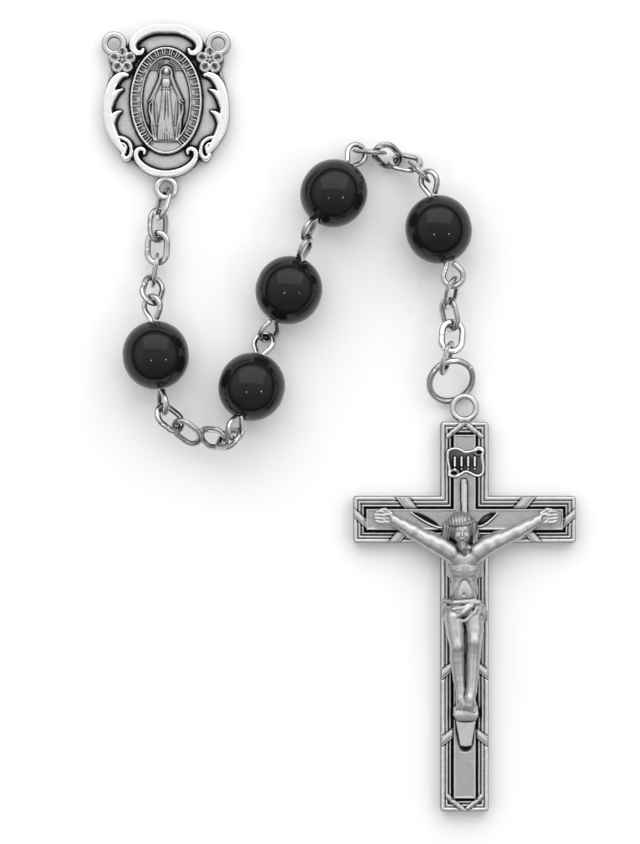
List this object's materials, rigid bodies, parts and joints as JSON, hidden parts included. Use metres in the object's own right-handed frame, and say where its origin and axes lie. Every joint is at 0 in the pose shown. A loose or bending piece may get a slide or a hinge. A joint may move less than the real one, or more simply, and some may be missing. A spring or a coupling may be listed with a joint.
{
  "type": "rosary",
  "caption": "Rosary drop: oval centre medal with eyelets, chain links, glossy round beads on looped eye-pins, a jump ring and a crucifix.",
  "frame": {"origin": "centre of the centre medal's flat back", "axes": "+Z out of the medal's face, away from the surface it lies on; +Y from the crucifix towards the medal's two upper eyelets; +X to the right seen from the front"},
  "size_m": [0.0574, 0.0954, 0.0082],
  "materials": {
    "antique_silver": "satin, oxidised dark in the recesses",
    "bright_silver": "polished",
    "black_glass": "glossy, opaque"
  },
  "bodies": {
    "centre_medal": {"centre_medal": "antique_silver"},
    "link_1": {"link_1": "bright_silver"},
    "link_2": {"link_2": "bright_silver"},
    "link_3": {"link_3": "bright_silver"},
    "link_4": {"link_4": "bright_silver"},
    "link_5": {"link_5": "bright_silver"},
    "pin_1": {"pin_1": "bright_silver"},
    "bead_1": {"bead_1": "black_glass"},
    "link_6": {"link_6": "bright_silver"},
    "link_7": {"link_7": "bright_silver"},
    "link_8": {"link_8": "bright_silver"},
    "link_9": {"link_9": "bright_silver"},
    "pin_2": {"pin_2": "bright_silver"},
    "bead_2": {"bead_2": "black_glass"},
    "pin_3": {"pin_3": "bright_silver"},
    "bead_3": {"bead_3": "black_glass"},
    "pin_4": {"pin_4": "bright_silver"},
    "bead_4": {"bead_4": "black_glass"},
    "link_10": {"link_10": "bright_silver"},
    "link_11": {"link_11": "bright_silver"},
    "link_12": {"link_12": "bright_silver"},
    "link_13": {"link_13": "bright_silver"},
    "pin_5": {"pin_5": "bright_silver"},
    "bead_5": {"bead_5": "black_glass"},
    "link_14": {"link_14": "bright_silver"},
    "link_15": {"link_15": "bright_silver"},
    "link_16": {"link_16": "bright_silver"},
    "link_17": {"link_17": "bright_silver"},
    "jump_ring": {"jump_ring": "bright_silver"},
    "crucifix": {"cross": "antique_silver", "corpus": "antique_silver", "title_scroll": "antique_silver"}
  },
  "joints": [
    {"name": "link_1_swing", "type": "hinge", "parent": "centre_medal", "child": "link_1", "pos_m": [0, -0.01172, 0.00115], "axis": [-1, 0, 0], "range_deg": [-5, 20]},
    {"name": "link_2_swing", "type": "hinge", "parent": "link_1", "child": "link_2", "pos_m": [-0.00082, -0.01418, 0.00216], "axis": [0.5393, 0.159, 0.827], "range_deg": [-50, 50]},
    {"name": "link_3_swing", "type": "hinge", "parent": "link_2", "child": "link_3", "pos_m": [-0.00101, -0.01692, 0.00216], "axis": [0.7058, -0.0493, -0.7067], "range_deg": [-30, 30]},
    {"name": "link_4_swing", "type": "hinge", "parent": "link_3", "child": "link_4", "pos_m": [-0.0011, -0.01966, 0.0022], "axis": [0.9451, -0.0273, 0.3255], "range_deg": [-50, 25]},
    {"name": "link_5_swing", "type": "hinge", "parent": "link_4", "child": "link_5", "pos_m": [-0.00157, -0.02236, 0.00235], "axis": [-0.1108, -0.037, -0.9932], "range_deg": [-25, 5]},
    {"name": "pin_1_swing", "type": "hinge", "parent": "link_5", "child": "pin_1", "pos_m": [-0.00191, -0.02443, 0.00439], "axis": [-0.8111, 0.4745, 0.3419], "range_deg": [-45, 5]},
    {"name": "bead_1_spin", "type": "hinge", "parent": "pin_1", "child": "bead_1", "pos_m": [-0.00113, -0.03086, 0.00401], "axis": [0.1218, -0.9919, 0.0349], "continuous": true},
    {"name": "link_6_swing", "type": "hinge", "parent": "pin_1", "child": "link_6", "pos_m": [-0.00013, -0.03787, 0.00458], "axis": [0.3839, 0.0795, 0.9199], "range_deg": [-50, 25]},
    {"name": "link_7_swing", "type": "hinge", "parent": "link_6", "child": "link_7", "pos_m": [0.00187, -0.0395, 0.00352], "axis": [0.3217, 0.7621, -0.5618], "range_deg": [-25, 50]},
    {"name": "link_8_swing", "type": "hinge", "parent": "link_7", "child": "link_8", "pos_m": [0.00401, -0.04124, 0.00349], "axis": [-0.4879, -0.5915, -0.6419], "range_deg": [-5, 50]},
    {"name": "link_9_swing", "type": "hinge", "parent": "link_8", "child": "link_9", "pos_m": [0.00728, -0.04091, 0.00495], "axis": [0.2726, -0.8672, -0.4167], "range_deg": [-30, 50]},
    {"name": "pin_2_swing", "type": "hinge", "parent": "link_9", "child": "pin_2", "pos_m": [0.00867, -0.04101, 0.00732], "axis": [0.5218, 0.8085, -0.2723], "range_deg": [-35, 0]},
    {"name": "bead_2_spin", "type": "hinge", "parent": "pin_2", "child": "bead_2", "pos_m": [0.0104, -0.03468, 0.00408], "axis": [0.2904, 0.8937, -0.342], "continuous": true},
    {"name": "pin_3_swing", "type": "hinge", "parent": "pin_2", "child": "pin_3", "pos_m": [0.01215, -0.02828, 0.00151], "axis": [0.9118, -0.15, 0.3822], "range_deg": [-30, 45]},
    {"name": "bead_3_spin", "type": "hinge", "parent": "pin_3", "child": "bead_3", "pos_m": [0.01488, -0.02303, 0.00401], "axis": [0.3597, 0.8473, 0.3907], "continuous": true},
    {"name": "pin_4_swing", "type": "hinge", "parent": "pin_3", "child": "pin_4", "pos_m": [0.01728, -0.01709, 0.00709], "axis": [0.444, 0.2129, -0.8704], "range_deg": [-5, 45]},
    {"name": "bead_4_spin", "type": "hinge", "parent": "pin_4", "child": "bead_4", "pos_m": [0.02028, -0.01137, 0.00399], "axis": [0.5085, 0.783, -0.3584], "continuous": true},
    {"name": "link_10_swing", "type": "hinge", "parent": "pin_4", "child": "link_10", "pos_m": [0.02363, -0.0056, 0.00155], "axis": [-0.7373, 0.6109, 0.2885], "range_deg": [-45, 25]},
    {"name": "link_11_swing", "type": "hinge", "parent": "link_10", "child": "link_11", "pos_m": [0.02612, -0.00644, 0.00308], "axis": [-0.5369, -0.0569, 0.8417], "range_deg": [-5, 50]},
    {"name": "link_12_swing", "type": "hinge", "parent": "link_11", "child": "link_12", "pos_m": [0.0278, -0.00776, 0.00077], "axis": [-0.8113, -0.4999, -0.3031], "range_deg": [-5, 50]},
    {"name": "link_13_swing", "type": "hinge", "parent": "link_12", "child": "link_13", "pos_m": [0.03063, -0.00791, 0.00221], "axis": [0.371, 0.6526, -0.6607], "range_deg": [0, 50]},
    {"name": "pin_5_swing", "type": "hinge", "parent": "link_13", "child": "pin_5", "pos_m": [0.03119, -0.00939, 0.0048], "axis": [-0.6216, 0.6155, 0.4845], "range_deg": [-10, 45]},
    {"name": "bead_5_spin", "type": "hinge", "parent": "pin_5", "child": "bead_5", "pos_m": [0.03289, -0.01572, 0.00399], "axis": [0.2419, -0.9701, -0.0175], "continuous": true},
    {"name": "link_14_swing", "type": "hinge", "parent": "pin_5", "child": "link_14", "pos_m": [0.03495, -0.02253, 0.0039], "axis": [-0.9654, -0.2388, -0.1045], "range_deg": [-50, 10]},
    {"name": "link_15_swing", "type": "hinge", "parent": "link_14", "child": "link_15", "pos_m": [0.03424, -0.02494, 0.00245], "axis": [-0.5117, -0.3285, 0.7939], "range_deg": [-50, 15]},
    {"name": "link_16_swing", "type": "hinge", "parent": "link_15", "child": "link_16", "pos_m": [0.03465, -0.02765, 0.00295], "axis": [0.5783, 0.2321, 0.7821], "range_deg": [-5, 50]},
    {"name": "link_17_swing", "type": "hinge", "parent": "link_16", "child": "link_17", "pos_m": [0.03439, -0.03035, 0.00342], "axis": [0.9779, -0.1218, -0.1699], "range_deg": [-20, 50]},
    {"name": "jump_ring_swing", "type": "hinge", "parent": "link_17", "child": "jump_ring", "pos_m": [0.03337, -0.03292, 0.00361], "axis": [0.2523, -0.1696, -0.9527], "range_deg": [-10, 50]},
    {"name": "crucifix_swing", "type": "hinge", "parent": "jump_ring", "child": "crucifix", "pos_m": [0.03611, -0.03562, 0.00044], "axis": [0.7636, 0.6348, 0.118], "range_deg": [0, 45]}
  ]
}
